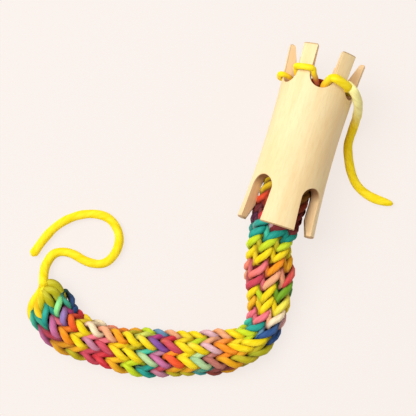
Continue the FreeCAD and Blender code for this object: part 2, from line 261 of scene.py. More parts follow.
# Folds of yarn over the cast-on end: radius, first and last dye, and the route, all in millimetres
CAST_ON_FOLDS = (
    (4.6, Dye.MOSS, Dye.MOSS, (
        (-98.6, -104.6, 6.6), (-97.4, -107.0, 6.6), (-95.4, -110.0, 6.6), (-94.2, -112.0, 6.6),
    )),
    (2.2, Dye.YELLOW, Dye.YELLOW, (
        (-100.6, -100.6, 6.0), (-99.9, -104.0, 8.5), (-100.2, -107.5, 9.5), (-101.6, -111.0, 9.5),
        (-102.2, -115.5, 8.0), (-101.0, -119.7, 6.0), (-97.6, -121.9, 4.5), (-94.3, -123.0, 2.8),
    )),
    (1.8, Dye.GOLD, Dye.YELLOW, (
        (-99.4, -107.4, 9.6), (-99.4, -111.3, 10.6), (-98.6, -115.3, 11.0), (-95.7, -118.1, 10.5),
        (-92.9, -120.7, 8.0),
    )),
    (2.3, Dye.YELLOW, Dye.MOSS, (
        (-99.1, -103.3, 9.0), (-98.3, -108.5, 10.4), (-97.8, -112.5, 10.4), (-96.9, -116.7, 9.0),
    )),
    (2.3, Dye.OLIVE, Dye.MOSS, (
        (-99.3, -102.3, 8.5), (-97.1, -100.8, 9.5), (-94.0, -100.9, 9.8), (-91.3, -103.2, 9.0),
        (-89.0, -106.4, 7.5), (-87.5, -110.0, 5.5),
    )),
    (2.1, Dye.OLIVE, Dye.MOSS, (
        (-98.2, -104.7, 10.0), (-95.2, -103.6, 11.2), (-91.9, -104.6, 11.2), (-89.6, -108.2, 9.0),
    )),
    (2.0, Dye.OLIVE, Dye.MOSS, (
        (-98.5, -105.0, 10.5), (-95.9, -107.6, 11.4), (-93.4, -109.8, 11.4), (-91.1, -112.4, 9.0),
    )),
)


def placed(name: str, data: bpy.types.ID) -> bpy.types.Object:
    """Make an object of some data and put it in the scene."""
    thing = bpy.data.objects.new(name, data)
    bpy.context.collection.objects.link(thing)
    return thing


def mesh_of(curve: bpy.types.Curve) -> bpy.types.Mesh:
    """Turn a curve into the mesh that it shows, and delete the curve.

    Args:
        curve: The curve.

    Returns:
        Its mesh: points along the line, or rings of points where the curve has a bevel.
    """
    holder = placed(curve.name, curve)
    graph = bpy.context.evaluated_depsgraph_get()
    mesh = bpy.data.meshes.new_from_object(holder.evaluated_get(graph), depsgraph=graph)
    bpy.data.objects.remove(holder)
    bpy.data.curves.remove(curve)
    return mesh


@dataclass(frozen=True)
class YarnPath:
    """A line of points with its lengths, read from a route's NURBS spline, in metres."""

    points: tuple[Vector, ...]
    lengths: tuple[float, ...]

    @classmethod
    def from_routes(cls, *routes: Sequence[tuple[float, float, float]], samples: int = 14) -> YarnPath:
        """Read one line from the splines of routes that follow on from each other.

        Args:
            routes: Control points in millimetres, the first of each where the one before it ends.
            samples: How many points the spline gives for each control point.

        Returns:
            The line through all of them.
        """
        points: list[Vector] = []
        for route in routes:
            line = spline_points(route, samples)
            points += line if not points else line[1:]
        return cls.through(points)

    @classmethod
    def through(cls, points: Sequence[Vector]) -> YarnPath:
        """Measure a line of points.

        Args:
            points: Points in metres, in order.

        Returns:
            The line with its lengths.
        """
        lengths = [0.0]
        for before, after in zip(points, points[1:]):
            lengths.append(lengths[-1] + (after - before).length)
        return cls(tuple(points), tuple(lengths))

    @property
    def length(self) -> float:
        """Length of the whole line, in metres."""
        return self.lengths[-1]

    def at(self, distance: float) -> Vector:
        """The point at a distance along the line, run on straight past its ends."""
        index = min(max(bisect.bisect_right(self.lengths, distance) - 1, 0), len(self.points) - 2)
        span = self.lengths[index + 1] - self.lengths[index]
        return self.points[index].lerp(self.points[index + 1], (distance - self.lengths[index]) / span)

    def heading(self, distance: float, reach: float = 0.002) -> Vector:
        """Unit direction of the line at a distance along it, averaged over twice the reach."""
        return (self.at(distance + reach) - self.at(distance - reach)).normalized()


def spline_points(route: Sequence[tuple[float, float, float]], samples: int) -> list[Vector]:
    """Read points along the NURBS spline of a route.

    Args:
        route: Control points in millimetres.
        samples: How many points the spline gives for each control point.

    Returns:
        Points in metres, from the route's first point to its last.
    """
    curve = bpy.data.curves.new("route", "CURVE")
    curve.dimensions = "3D"
    curve.resolution_u = samples
    spline = curve.splines.new("NURBS")
    spline.points.add(len(route) - 1)
    for spot, place in zip(spline.points, route):
        spot.co = (*(value * MM for value in place), 1.0)
    spline.order_u = 3
    spline.use_endpoint_u = True
    mesh = mesh_of(curve)
    points = [vertex.co.copy() for vertex in mesh.vertices]
    bpy.data.meshes.remove(mesh)
    return points


def ease(value: float, start: float, end: float) -> float:
    """Share from 0 before start to 1 after end, turning smoothly."""
    share = min(max((value - start) / (end - start), 0.0), 1.0)
    return share * share * (3 - 2 * share)


def between(stations: Sequence[tuple[float, ...]], value: float) -> tuple[float, ...]:
    """Read values in a straight line between stations.

    Args:
        stations: Rows of a place and the values there, in rising order of place.
        value: The place to read at.

    Returns:
        The values there.
    """
    if value <= stations[0][0]:
        return stations[0][1:]
    for before, after in zip(stations, stations[1:]):
        if value <= after[0]:
            share = (value - before[0]) / (after[0] - before[0])
            return tuple(low + (high - low) * share for low, high in zip(before[1:], after[1:]))
    return stations[-1][1:]


@dataclass
class Strand:
    """One stretch of yarn, point by point along its centre line."""

    points: list[Vector] = field(default_factory=list)
    radii: list[float] = field(default_factory=list)
    colours: list[tuple[float, ...]] = field(default_factory=list)
    outward: list[Vector] = field(default_factory=list)
    depths: list[float] = field(default_factory=list)
    start_mm: float = 0.0

    def add(
        self, point: Vector, radius: float, colour: tuple[float, ...], outward: Vector = Vector(), depth: float = 0.0
    ) -> None:
        """Add a point.

        Args:
            point: Centre of the yarn, in metres.
            radius: Its radius there, in metres.
            colour: Its linear colour there.
            outward: The way out of the knitting, for the painted crevice shade, or nothing where the yarn lies free and
                takes none.
            depth: How far out the yarn's centre stands from the middle of the knitting's thickness, in millimetres,
                less any added painted shade; it sets the painted crevice shade.
        """
        self.points.append(point)
        self.radii.append(radius)
        self.colours.append(colour)
        self.outward.append(outward)
        self.depths.append(depth)


@dataclass(frozen=True)
class YarnSweep:
    """A round yarn swept along a line, dyed point by point with painted crevice shade, and made a mesh."""

    sides: int = 12
    twist_per_mm: float = 0.22
    streak_stretch: float = 0.16
    # Painted crevice shade: the depths in millimetres at which the yarn's colour is darkest and full, and how the
    # darkest colour is made
    deepest: float = -1.4
    open_air: float = 3.0
    crevice_shade_shares: tuple[float, float, float] = (0.2, 0.13, 0.1)
    crevice_shade_power: float = 1.7

    def make(self, name: str, *strands: Strand) -> bpy.types.Object:
        """Sweep strands of yarn into one mesh and write its dye attribute, with painted crevice shade worked in, and
        its fibre attribute.

        Args:
            name: The piece's name.
            strands: The stretches of yarn.

        Returns:
            The mesh object.
        """
        curve = bpy.data.curves.new(name, "CURVE")
        curve.dimensions = "3D"
        curve.twist_mode = "MINIMUM"
        curve.bevel_depth = 1.0
        curve.bevel_resolution = self.sides // 2 - 2
        for strand in strands:
            spline = curve.splines.new("POLY")
            spline.points.add(len(strand.points) - 1)
            for spot, place, radius in zip(spline.points, strand.points, strand.radii):
                spot.co = (*place, 1.0)
                spot.radius = radius
        mesh = mesh_of(curve)
        mesh.name = name
        shell = bmesh.new()
        shell.from_mesh(mesh)
        bmesh.ops.holes_fill(shell, edges=shell.edges[:], sides=0)
        shell.to_mesh(mesh)
        shell.free()
        self.dress(mesh, strands)
        return placed(name, mesh)

    def dress(self, mesh: bpy.types.Mesh, strands: Sequence[Strand]) -> None:
        """Write the dye, darkened with painted crevice shade, and the place along the fibres on each vertex.

        Args:
            mesh: The swept mesh, ring after ring and strand after strand.
            strands: The stretches of yarn that it was swept from.
        """
        # The dye attribute holds the yarn's dye with painted crevice shade worked in
        dye = mesh.attributes.new("dye", "FLOAT_COLOR", "POINT")
        fibre = mesh.attributes.new("fibre", "FLOAT_VECTOR", "POINT")
        index = 0
        for strand in strands:
            along = strand.start_mm
            before = strand.points[0]
            for ring, point in enumerate(strand.points):
                along += (point - before).length / MM
                before = point
                for side in range(self.sides):
                    turn = TAU * side / self.sides + self.twist_per_mm * along
                    # Painted crevice shade: from 0 deep in the knitting to 1 on the open side of a stitch
                    out = (mesh.vertices[index].co - point).dot(strand.outward[ring]) / MM + strand.depths[ring]
                    free = 1.0 if strand.outward[ring].length == 0 else ease(out, self.deepest, self.open_air)
                    dye.data[index].color = self.shaded(strand.colours[ring], free)
                    fibre.data[index].vector = (math.cos(turn), math.sin(turn), along * self.streak_stretch)
                    index += 1
        for face in mesh.polygons:
            face.use_smooth = True

    def shaded(self, colour: Sequence[float], free: float) -> tuple[float, ...]:
        """Darken a linear colour with painted crevice shade where the yarn lies down in the knitting.

        Args:
            colour: The yarn's colour.
            free: 0 at the bottom of a crevice to 1 on the open side of a stitch.

        Returns:
            The colour there.
        """
        deep = (part**self.crevice_shade_power * share for part, share in zip(colour, self.crevice_shade_shares))
        return (*(low + (high - low) * free for low, high in zip(deep, colour)), 1.0)


class Shade:
    """A short way to lay out the nodes of one material or group."""

    def __init__(self, tree: bpy.types.NodeTree) -> None:
        """Keep the tree."""
        self.tree = tree

    def add(self, kind: str, inputs: dict | None = None, **settings: object) -> bpy.types.Node:
        """Add a node.

        Args:
            kind: The node's type.
            inputs: Input socket to its value, or to the output socket that feeds it.
            settings: The node's own settings.

        Returns:
            The node.
        """
        node = self.tree.nodes.new(kind)
        for key, value in settings.items():
            setattr(node, key, value)
        self.feed(node, inputs or {})
        return node

    def feed(self, node: bpy.types.Node, inputs: dict) -> None:
        """Set a node's inputs.

        Args:
            node: The node.
            inputs: Input socket to its value, or to the output socket that feeds it.
        """
        for key, value in inputs.items():
            if isinstance(value, bpy.types.NodeSocket):
                self.tree.links.new(value, node.inputs[key])
            else:
                node.inputs[key].default_value = value

    def end(self, kind: str) -> bpy.types.Node:
        """The one node of a kind that the tree came with."""
        return next(node for node in self.tree.nodes if node.type == kind)

    def math(self, operation: str, first: object, second: object = 0.0, clamp: bool = False) -> bpy.types.NodeSocket:
        """Add a Math node and give its output."""
        node = self.add("ShaderNodeMath", {0: first, 1: second}, operation=operation, use_clamp=clamp)
        return node.outputs[0]

    def smooth(self, value: object, low: float, high: float) -> bpy.types.NodeSocket:
        """Add a smooth step from 0 at low to 1 at high and give its output."""
        node = self.add(
            "ShaderNodeMapRange", {"Value": value, "From Min": low, "From Max": high}, interpolation_type="SMOOTHSTEP"
        )
        return node.outputs["Result"]

    def blend(self, share: object, first: object, second: object, mode: str = "MIX") -> bpy.types.NodeSocket:
        """Add a colour mix and give its output."""
        inputs = {0: share, 6: first, 7: second}
        return self.add("ShaderNodeMix", inputs, data_type="RGBA", blend_type=mode).outputs[2]

    def seen_straight(self) -> bpy.types.NodeSocket:
        """Share of a surface's light that goes straight to the camera, or to it by a mirror or a glass."""
        rays = self.add("ShaderNodeLightPath").outputs
        seen = self.math("MAXIMUM", rays["Is Camera Ray"], rays["Is Glossy Ray"])
        return self.math("MAXIMUM", seen, rays["Is Transmission Ray"])


def new_material(name: str) -> tuple[bpy.types.Material, Shade, bpy.types.Node]:
    """Start a material.

    Args:
        name: The finish's name.

    Returns:
        The material, its node layout, and its Principled shader.
    """
    material = bpy.data.materials.new(name)
    material.use_nodes = True
    shade = Shade(material.node_tree)
    return material, shade, shade.end("BSDF_PRINCIPLED")


def new_group(name: str, inputs: dict[str, tuple[str, object]], outputs: dict[str, str]) -> tuple:
    """Start a shader node group.

    Args:
        name: The group's name.
        inputs: Name to socket type and default value.
        outputs: Name to socket type.

    Returns:
        The group, its node layout, its input node and its output node.
    """
    group = bpy.data.node_groups.new(name, "ShaderNodeTree")
    for key, (kind, value) in inputs.items():
        socket = group.interface.new_socket(name=key, in_out="INPUT", socket_type=kind)
        if value is not None:
            socket.default_value = value
    for key, kind in outputs.items():
        group.interface.new_socket(name=key, in_out="OUTPUT", socket_type=kind)
    shade = Shade(group)
    return group, shade, shade.add("NodeGroupInput"), shade.add("NodeGroupOutput")


# Fine streaks and broad patches along the yarn: where each begins and ends in its noise, and how they tint the dye
FIBRE_STEPS = (0.34, 0.66)
PATCH_SCALE = 1.1
PATCH_STEPS = (0.3, 0.7)
FIBRE_SHADE = (0.62, 0.52, 0.48, 1.0)
FIBRE_GLINT = (1.0, 0.97, 0.9, 1.0)
PATCH_SHADE_SHARE = 0.35
PATCH_GLINT_SHARE = 0.03


def fibre_group() -> bpy.types.NodeTree:
    """Build the group that streaks and roughens a surface along its fibres.

    Returns:
        The group, with a colour and a height out.
    """
    group, shade, given, out = new_group(
        "fibres",
        {
            "Colour": ("NodeSocketColor", None),
            "Place": ("NodeSocketVector", None),
            "Scale": ("NodeSocketFloat", 4.0),
            "Strength": ("NodeSocketFloat", 0.3),
        },
        {"Colour": "NodeSocketColor", "Height": "NodeSocketFloat"},
    )
    fine = shade.add(
        "ShaderNodeTexNoise",
        {"Vector": given.outputs["Place"], "Scale": given.outputs["Scale"], "Detail": 4.0, "Roughness": 0.65},
    )
    broad = shade.add(
        "ShaderNodeTexNoise",
        {"Vector": given.outputs["Place"], "Scale": PATCH_SCALE, "Detail": 2.0, "Roughness": 0.5},
    )
    streak = shade.smooth(fine.outputs["Fac"], *FIBRE_STEPS)
    patch = shade.smooth(broad.outputs["Fac"], *PATCH_STEPS)
    darker = shade.blend(1.0, given.outputs["Colour"], FIBRE_SHADE, "MULTIPLY")
    paler = shade.blend(PATCH_GLINT_SHARE, given.outputs["Colour"], FIBRE_GLINT)
    toned = shade.blend(patch, shade.blend(PATCH_SHADE_SHARE, given.outputs["Colour"], darker), paler)
    share = shade.math("MULTIPLY", shade.math("SUBTRACT", 1.0, streak), given.outputs["Strength"])
    shade.feed(out, {"Colour": shade.blend(share, toned, darker), "Height": streak})
    return group


@dataclass(frozen=True)
class WoolFinish:
    """Soft matt yarn whose colour is dyed along it, with the painted crevice shade that its dye attribute carries."""

    name: str = "hand_dyed_wool"
    streak_scale: float = 1.9
    streak_strength: float = 0.4
    bump: float = 0.25
    bump_depth: float = 0.0002
    roughness: float = 0.7
    sheen: float = 0.03
    sheen_roughness: float = 0.4
    specular: float = 0.15

    def make(self, fibres: bpy.types.NodeTree) -> bpy.types.Material:
        """Build the material.

        Args:
            fibres: The fibre group.

        Returns:
            The material.
        """
        material, shade, shader = new_material(self.name)
        # The dye attribute carries painted crevice shade as well as the dye
        dye = shade.add("ShaderNodeAttribute", None, attribute_name="dye")
        place = shade.add("ShaderNodeAttribute", None, attribute_name="fibre")
        group = shade.add("ShaderNodeGroup", None, node_tree=fibres)
        given = {"Colour": dye.outputs["Color"], "Place": place.outputs["Vector"]}
        shade.feed(group, {**given, "Scale": self.streak_scale, "Strength": self.streak_strength})
        bump = shade.add(
            "ShaderNodeBump",
            {"Height": group.outputs["Height"], "Strength": self.bump, "Distance": self.bump_depth},
        )
        surface = {
            "Base Color": group.outputs["Colour"],
            "Normal": bump.outputs["Normal"],
            "Roughness": self.roughness,
            "Sheen Weight": self.sheen,
            "Sheen Roughness": self.sheen_roughness,
            "Specular IOR Level": self.specular,
        }
        shade.feed(shader, surface)
        return material


# The wood's fine grain and broad figure: where each begins and ends in its noise
GRAIN_STEPS = (0.42, 0.7)
FIGURE_SCALE = 170.0
FIGURE_STEPS = (0.35, 0.68)


def grain_group() -> bpy.types.NodeTree:
    """Build the group of straight fine grain along the maker's axis.

    Returns:
        The group, with a share of dark grain and a height out.
    """
    group, shade, given, out = new_group(
        "straight_grain",
        {
            "Place": ("NodeSocketVector", None),
            "Lines": ("NodeSocketFloat", 1300.0),
            "Stretch": ("NodeSocketFloat", 0.14),
        },
        {"Grain": "NodeSocketFloat", "Figure": "NodeSocketFloat", "Height": "NodeSocketFloat"},
    )
    parts = shade.add("ShaderNodeSeparateXYZ", {0: given.outputs["Place"]})
    along = shade.math("MULTIPLY", parts.outputs["Y"], given.outputs["Stretch"])
    laid = shade.add("ShaderNodeCombineXYZ", {"X": parts.outputs["X"], "Y": along, "Z": parts.outputs["Z"]})
    fine = shade.add(
        "ShaderNodeTexNoise",
        {"Vector": laid.outputs[0], "Scale": given.outputs["Lines"], "Detail": 5.0, "Roughness": 0.6},
    )
    broad = shade.add(
        "ShaderNodeTexNoise", {"Vector": laid.outputs[0], "Scale": FIGURE_SCALE, "Detail": 3.0, "Roughness": 0.55}
    )
    results = {
        "Grain": shade.smooth(fine.outputs["Fac"], *GRAIN_STEPS),
        "Figure": shade.smooth(broad.outputs["Fac"], *FIGURE_STEPS),
        "Height": fine.outputs["Fac"],
    }
    shade.feed(out, results)
    return group


# Depths under the turned surface, in millimetres, at which a face counts as sawn, as a slot's rim, or as inside
SAWN_DEPTHS = (0.18, 0.7)
RIM_DEPTHS = (0.02, 0.12)
RIM_END_DEPTHS = (0.25, 0.7)
INSIDE_DEPTHS = (1.5, 2.5)
BORE_WALL_REACHES = (BORE_RADIUS + 0.1, BORE_RADIUS + 2.2)
# Places along the maker, in millimetres: where the slots and their round ends begin and end, and its end faces
FOUR_SLOT_Y = FOUR_SLOT_DEPTH - HALF_LENGTH
SIX_SLOT_Y = HALF_LENGTH - SIX_SLOT_DEPTH
SLOT_EDGE = 0.8
ARCH_EDGE = 0.6
END_EDGES = (HALF_LENGTH - 0.45, HALF_LENGTH - 0.05)


def zone_group() -> bpy.types.NodeTree:
    """Build the group that tells the maker's surfaces apart by their place.

    Returns:
        The group, with masks for the sawn walls, their rims, the slots' round ends, the end faces and the bore.
    """
    group, shade, given, out = new_group(
        "maker_zones",
        {"Place": ("NodeSocketVector", None)},
        {key: "NodeSocketFloat" for key in ("Cut", "Rim", "Arch", "End", "Inside")},
    )
    parts = shade.add("ShaderNodeSeparateXYZ", {0: given.outputs["Place"]})
    x, y, z = (shade.math("DIVIDE", parts.outputs[axis], MM) for axis in "XYZ")
    height = shade.math("SUBTRACT", z, AXIS_Z)
    reach = shade.math("SQRT", shade.math("ADD", shade.math("MULTIPLY", x, x), shade.math("MULTIPLY", height, height)))
    waist = shade.math("DIVIDE", y, HALF_LENGTH)
    swell = shade.math("MULTIPLY", shade.math("MULTIPLY", waist, waist), END_RADIUS - WAIST_RADIUS)
    depth = shade.math("SUBTRACT", shade.math("ADD", swell, WAIST_RADIUS), reach)
    far_y = shade.math("ABSOLUTE", y)
    four_arch = shade.smooth(y, FOUR_SLOT_Y - SLOT_HALF_WIDTH, FOUR_SLOT_Y - ARCH_EDGE)
    past_six_arch = shade.smooth(y, SIX_SLOT_Y + ARCH_EDGE, SIX_SLOT_Y + SLOT_HALF_WIDTH)
    past_four_slots = shade.smooth(y, FOUR_SLOT_Y, FOUR_SLOT_Y + SLOT_EDGE)
    among_six_slots = shade.smooth(y, SIX_SLOT_Y - SLOT_EDGE, SIX_SLOT_Y)
    slotted = shade.math("MAXIMUM", shade.math("SUBTRACT", 1.0, past_four_slots), among_six_slots)
    rim = shade.math("SUBTRACT", shade.smooth(depth, *RIM_DEPTHS), shade.smooth(depth, *RIM_END_DEPTHS), clamp=True)
    sawn = shade.math("MAXIMUM", slotted, shade.smooth(depth, *INSIDE_DEPTHS))
    # The Rim and Inside masks place painted shade along the slot rims and on the bore's wall; the Arch mask places the
    # scorch at the slots' round ends
    masks = {
        "Cut": shade.math("MULTIPLY", shade.smooth(depth, *SAWN_DEPTHS), sawn),
        "Rim": shade.math("MULTIPLY", rim, slotted),
        "Arch": shade.math("MULTIPLY", four_arch, shade.math("SUBTRACT", 1.0, past_six_arch)),
        "End": shade.smooth(far_y, *END_EDGES),
        "Inside": shade.math("SUBTRACT", 1.0, shade.smooth(reach, *BORE_WALL_REACHES)),
    }
    shade.feed(out, masks)
    return group


@dataclass(frozen=True)
class MapleFinish:
    """Pale sanded maple, browner where it was sawn and scorched at the slots' round ends, darker on the end faces, with
    painted shade along the slot rims and on the bore's wall.
    """

    name: str = "pale_maple"
    pale: tuple[float, float, float, float] = paint(236, 211, 163)
    warm: tuple[float, float, float, float] = paint(234, 202, 150)
    vein: tuple[float, float, float, float] = paint(206, 158, 104)
    sawn: tuple[float, float, float, float] = paint(246, 208, 158)
    # Brown of the scorch at the slots' round ends, and of the painted shade on the rims and in the bore
    scorch_and_shade: tuple[float, float, float, float] = paint(118, 62, 16)
    roughness: float = 0.5
    sawn_roughness: float = 0.25
    specular: float = 0.35
    bump: float = 0.12
    bump_depth: float = 0.0002
    grain_share: float = 0.18
    sawn_grain_share: float = 0.22
    arch_share: float = 0.8
    bore_painted_shade: float = 0.25
    rim_painted_shade: float = 0.42
    end_share: float = 0.35

    def make(self, grain: bpy.types.NodeTree, zones: bpy.types.NodeTree) -> bpy.types.Material:
        """Build the material.

        Args:
            grain: The grain group.
            zones: The group of the maker's surfaces.

        Returns:
            The material.
        """
        material, shade, shader = new_material(self.name)
        place = shade.add("ShaderNodeTexCoord").outputs["Object"]
        lines = shade.add("ShaderNodeGroup", None, node_tree=grain)
        masks = shade.add("ShaderNodeGroup", None, node_tree=zones)
        for group in (lines, masks):
            shade.feed(group, {"Place": place})
        colour = shade.blend(lines.outputs["Figure"], self.pale, self.warm)
        colour = shade.blend(shade.math("MULTIPLY", lines.outputs["Grain"], self.grain_share), colour, self.vein)
        sawn = shade.blend(shade.math("MULTIPLY", lines.outputs["Grain"], self.sawn_grain_share), self.sawn, self.vein)
        sawn = shade.blend(shade.math("MULTIPLY", masks.outputs["Arch"], self.arch_share), sawn, self.scorch_and_shade)
        # Painted shade on the bore's wall
        sawn = shade.blend(shade.math("MULTIPLY", masks.outputs["Inside"], self.bore_painted_shade), sawn, self.scorch_and_shade)
        colour = shade.blend(masks.outputs["Cut"], colour, sawn)
        # Painted shade along the slot rims
        colour = shade.blend(shade.math("MULTIPLY", masks.outputs["Rim"], self.rim_painted_shade), colour, self.scorch_and_shade)
        # Darker on the end faces
        colour = shade.blend(shade.math("MULTIPLY", masks.outputs["End"], self.end_share), colour, self.scorch_and_shade)
        bump = shade.add(
            "ShaderNodeBump",
            {"Height": lines.outputs["Height"], "Strength": self.bump, "Distance": self.bump_depth},
        )
        rough = shade.math("ADD", shade.math("MULTIPLY", masks.outputs["Cut"], self.sawn_roughness), self.roughness)
        surface = {
            "Base Color": colour,
            "Roughness": rough,
            "Normal": bump.outputs["Normal"],
            "Specular IOR Level": self.specular,
        }
        shade.feed(shader, surface)
        return material


# A depth, in millimetres, that gives the darkest painted shade
PITCH_DARK = -99.0


@dataclass
class Wobble:
    """Small steady irregularities of hand work, one value for each stitch and smooth between them."""

    seed: int
    count: int = 400
    values: list[float] = field(default_factory=list)

    def __post_init__(self) -> None:
        """Draw the values."""
        draw = random.Random(self.seed)
        self.values = [draw.uniform(-1.0, 1.0) for _ in range(self.count)]

    def at(self, place: float) -> float:
        """Value at a place counted in stitches."""
        index = math.floor(place)
        share = place - index
        share = share * share * (3 - 2 * share)
        low, high = (self.values[(index + step) % self.count] for step in (0, 1))
        return low + (high - low) * share


@dataclass
class Knitting:
    """One yarn knitted in a spiral of six stitches round a flattened tube."""

    free: YarnPath
    bore: YarnPath
    wales: int = 6
    yarn_radius: float = 1.65
    head_share: float = 0.62
    long_leg_share: float = 1.06
    swing: float = 0.33
    sway: float = 0.09
    loft: float = 1.45
    side_loft_share: float = 0.35
    lean: float = 0.65
    overlap: float = 0.89
    unevenness: float = 0.55
    side_uneven: float = 0.12
    loft_uneven: float = 0.6
    thick_uneven: float = 0.15
    first_row: float = 4.5
    first_stitch: float = -2.0
    blur: float = 0.42
    # The filler yarn in painted shade: how much thinner than the tube's half height it is, and how much fuller in the
    # bore, in millimetres
    inside_slack: float = 0.5
    bore_fill: float = 2.0
    points_a_stitch: int = 20
    fibre_mm_a_stitch: float = 20.0
    # How much painted shade there is in the bore, more on its far side, and at the gathered end, in millimetres of
    # depth
    shade_in_bore: float = 1.4
    far_side_shade: float = 3.4
    shade_at_end: float = 0.7
    # Distances up the bore, and down the free cord, over which the painted shade and the filling come and go
    shade_starts: tuple[float, float] = (1.0, 9.0)
    shade_ends: tuple[float, float] = (54.0, 64.0)
    fill_starts: tuple[float, float] = (2.0, 10.0)
    fill_ends: tuple[float, float] = (48.0, 60.0)
    end_shade_starts: tuple[float, float] = (138.0, 154.0)
    # Distance from the mouth down the free cord (up the bore where negative): half width and half height of the tube
    widths: tuple[tuple[float, float, float], ...] = (
        (-70.0, 10.7, 10.7),
        (-60.0, 9.8, 9.8),
        (-10.0, 9.8, 9.6),
        (0.0, 9.2, 5.4),
        (12.0, 8.1, 5.1),
        (22.0, 9.9, 4.9),
        (28.0, 9.8, 4.7),
        (40.0, 7.7, 4.2),
        (54.0, 6.4, 3.8),
        (64.0, 7.2, 3.6),
        (75.0, 8.8, 3.4),
        (88.0, 8.0, 3.2),
        (100.0, 8.9, 3.1),
        (112.0, 9.6, 3.1),
        (124.0, 8.3, 3.1),
        (138.0, 7.9, 3.3),
        (150.0, 8.8, 3.5),
        (168.0, 9.3, 3.4),
    )
    # The same distances: the pitch of the rows, and how far the wales are turned round the tube in degrees
    rows_and_turns: tuple[tuple[float, float, float], ...] = (
        (-70.0, 5.4, 300.0),
        (-8.0, 6.0, 210.0),
        (6.0, 4.1, 166.0),
        (18.0, 6.3, 129.0),
        (30.0, 7.5, 100.0),
        (42.0, 6.3, 93.0),
        (52.0, 6.6, 75.0),
        (62.0, 7.6, 50.0),
        (74.0, 6.9, 29.0),
        (90.0, 6.2, 25.0),
        (110.0, 6.8, 6.0),
        (130.0, 6.8, -12.0),
        (146.0, 6.2, 6.0),
        (160.0, 6.6, 12.0),
    )
    rows: list[float] = field(default_factory=list)

    def __post_init__(self) -> None:
        """Lay out the rows from the cast-on end and the hand's irregularities."""
        self.side_wobble = Wobble(11)
        self.along_wobble = Wobble(12)
        self.loft_wobble = Wobble(13)
        self.thick_wobble = Wobble(14)
        here = self.first_row
        while here < (self.free.length + self.bore.length) / MM:
            self.rows.append(here)
            here += self.row_and_turn(here)[0]
        self.rows.append(here)

    def from_mouth(self, along: float) -> float:
        """Distance from the mouth, for a distance along from the cast-on end, both in millimetres."""
        return self.free.length / MM - along

    def row_and_turn(self, along: float) -> tuple[float, float]:
        """Row pitch in millimetres and turn in degrees at a distance from the cast-on end."""
        return between(self.rows_and_turns, self.from_mouth(along))

    def along(self, stitch: float) -> float:
        """Distance from the cast-on end at which a stitch's row lies, in millimetres."""
        row = stitch / self.wales
        index = min(max(math.floor(row), 0), len(self.rows) - 2)
        return self.rows[index] + (row - index) * (self.rows[index + 1] - self.rows[index])

    def stitch_at(self, along: float) -> float:
        """The stitch whose row lies at a distance from the cast-on end, in millimetres."""
        index = min(max(bisect.bisect_right(self.rows, along) - 1, 0), len(self.rows) - 2)
        return self.wales * (index + (along - self.rows[index]) / (self.rows[index + 1] - self.rows[index]))

    def centre(self, along: float) -> tuple[Vector, Vector]:
        """Centre and direction of the tube at a distance from the cast-on end, in metres."""
        spot = along * MM
        if spot <= self.free.length:
            path, distance = self.free, self.free.length - spot
            return path.at(distance), -path.heading(distance)
        distance = spot - self.free.length
        return self.bore.at(distance), self.bore.heading(distance)

    def skin(self, along: float, angle: float) -> tuple[Vector, Vector]:
        """Place and outward direction on the flattened tube, across and up from its centre.

        The tube's section is two flats joined by half circles; an angle of 90 degrees always meets its side.

        Args:
            along: Distance from the cast-on end, in millimetres.
            angle: Angle round the tube from straight up, in radians.

        Returns:
            The place in millimetres and the direction, each as across and up.
        """
        half_width, half_height = between(self.widths, self.from_mouth(along))
        flat = half_width - half_height
        angle = (angle + math.pi) % TAU - math.pi
        below = abs(angle) > math.pi / 2
        share = 2 * (math.pi - abs(angle) if below else abs(angle)) / math.pi
        walked = share * (flat + math.pi * half_height / 2)
        bend = max(walked - flat, 0.0) / half_height
        place = Vector((min(walked, flat) + half_height * math.sin(bend), half_height * math.cos(bend)))
        outward = Vector((math.sin(bend), math.cos(bend)))
        mirror = Vector((math.copysign(1.0, angle), -1.0 if below else 1.0))
        return place * mirror, outward * mirror

    def spot(self, stitch: float) -> tuple[Vector, Vector, float]:
        """Centre of the yarn at a place counted in stitches.

        Args:
            stitch: Stitches from the cast-on end, whole at the middle of each stitch's head.

        Returns:
            The point in metres, the way out of the tube there, and how far out the point stands in millimetres less the
            painted shade.
        """
        turn = TAU * stitch
        row_at = self.along(stitch)
        reach = self.row_and_turn(row_at)[0] * self.overlap * math.cos(turn)
        along = row_at + reach + self.unevenness * self.along_wobble.at(stitch)
        shift = self.swing * math.sin(2 * turn) + self.sway * math.cos(turn)
        shift += self.side_uneven * self.unevenness * self.side_wobble.at(stitch)
        angle = TAU * (stitch + shift) / self.wales + math.radians(self.row_and_turn(along)[1])
        place, outward = self.skin(along, angle)
        loft = self.loft * (1 - (1 - self.side_loft_share) * abs(outward.x))
        out = self.lean * math.sin(turn) - loft * math.cos(2 * turn)
        out += self.loft_uneven * self.unevenness * self.loft_wobble.at(stitch)
        across, lift = place + outward * out
        centre, heading = self.centre(along)
        right = heading.cross(Vector((0, 0, 1))).normalized()
        up = right.cross(heading)
        way_out = right * outward.x + up * outward.y
        return centre + (right * across + up * lift) * MM, way_out, out - self.shade(along, outward.x)

    def shade(self, along: float, sideways: float) -> float:
        """Depth to take off for painted shade, in millimetres.

        Args:
            along: Distance from the cast-on end, in millimetres.
            sideways: How far the way out of the tube points to its far side, from -1 to 1.

        Returns:
            The depth.
        """
        down = self.from_mouth(along)
        in_bore = ease(-down, *self.shade_starts) - ease(-down, *self.shade_ends)
        shade = self.shade_in_bore * in_bore * (1 + self.far_side_shade * max(sideways, 0.0))
        return shade + self.shade_at_end * ease(down, *self.end_shade_starts)

